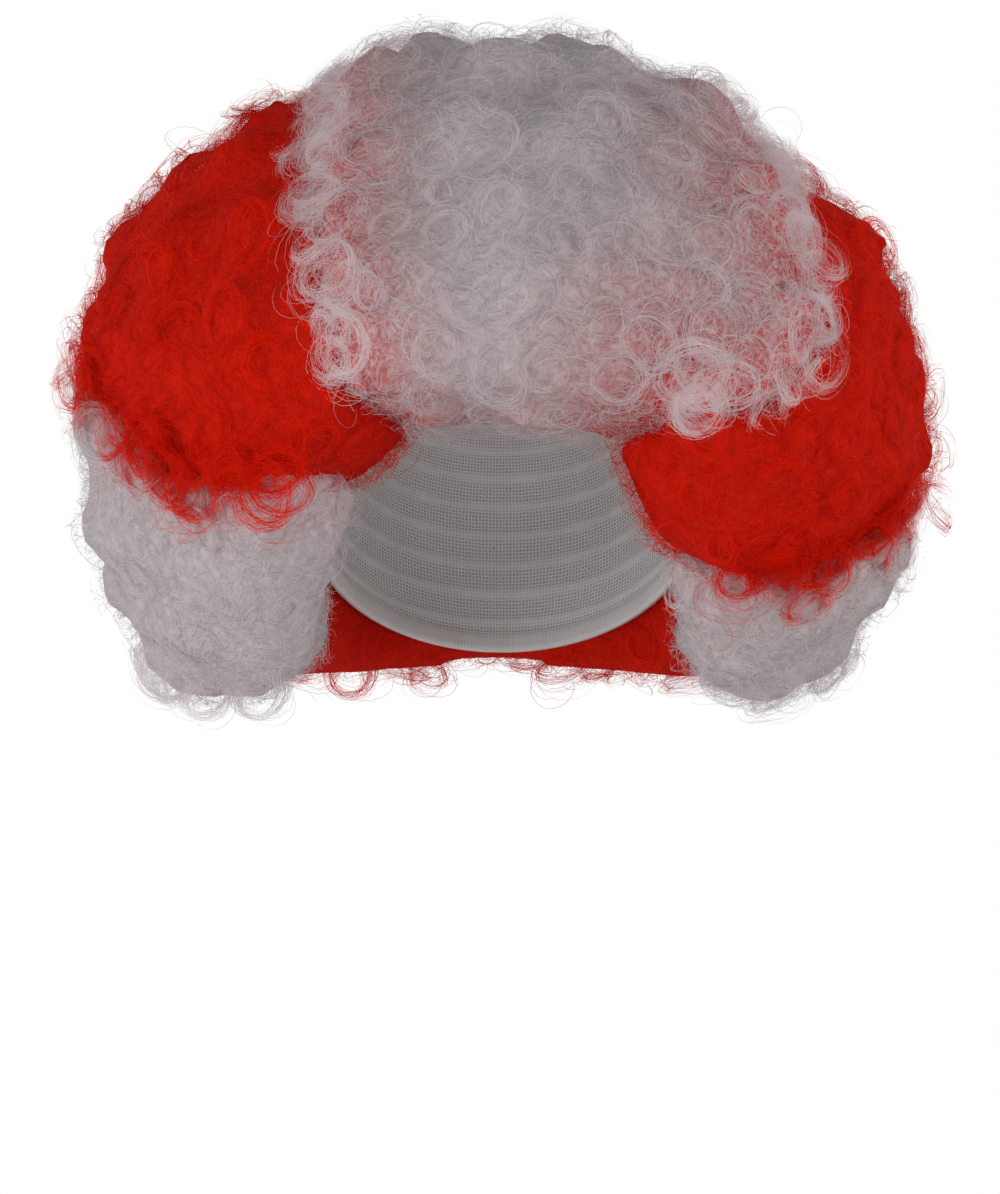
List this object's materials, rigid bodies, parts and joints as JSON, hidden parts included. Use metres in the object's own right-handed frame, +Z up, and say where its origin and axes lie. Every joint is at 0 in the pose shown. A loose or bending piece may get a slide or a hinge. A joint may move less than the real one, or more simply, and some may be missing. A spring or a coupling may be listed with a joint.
{
  "type": "afro wig",
  "caption": "Large round wig of tight curls in a red and white checkerboard of hair panels on a stretch cap, open at the face, worn over the head.",
  "frame": {"origin": "where the crown of the head meets the inside of the cap", "axes": "+Z up along the head, -Y out of the face opening, +X to the right as seen from the front"},
  "size_m": [0.3578, 0.3222, 0.2788],
  "materials": {
    "cap_knit": "fine matt stretch knit with sewn rows and a soft elastic hem",
    "white_hair": "fine translucent white synthetic fibre in loose glossy curls",
    "red_hair": "fine bright red synthetic fibre in loose glossy curls"
  },
  "bodies": {
    "root": {"cap": "cap_knit", "hair_front_white": "white_hair", "hair_left_red": "red_hair", "hair_right_red": "red_hair", "hair_left_white": "white_hair", "hair_right_white": "white_hair", "hair_back_white": "white_hair", "hair_nape_red": "red_hair"}
  },
  "joints": []
}
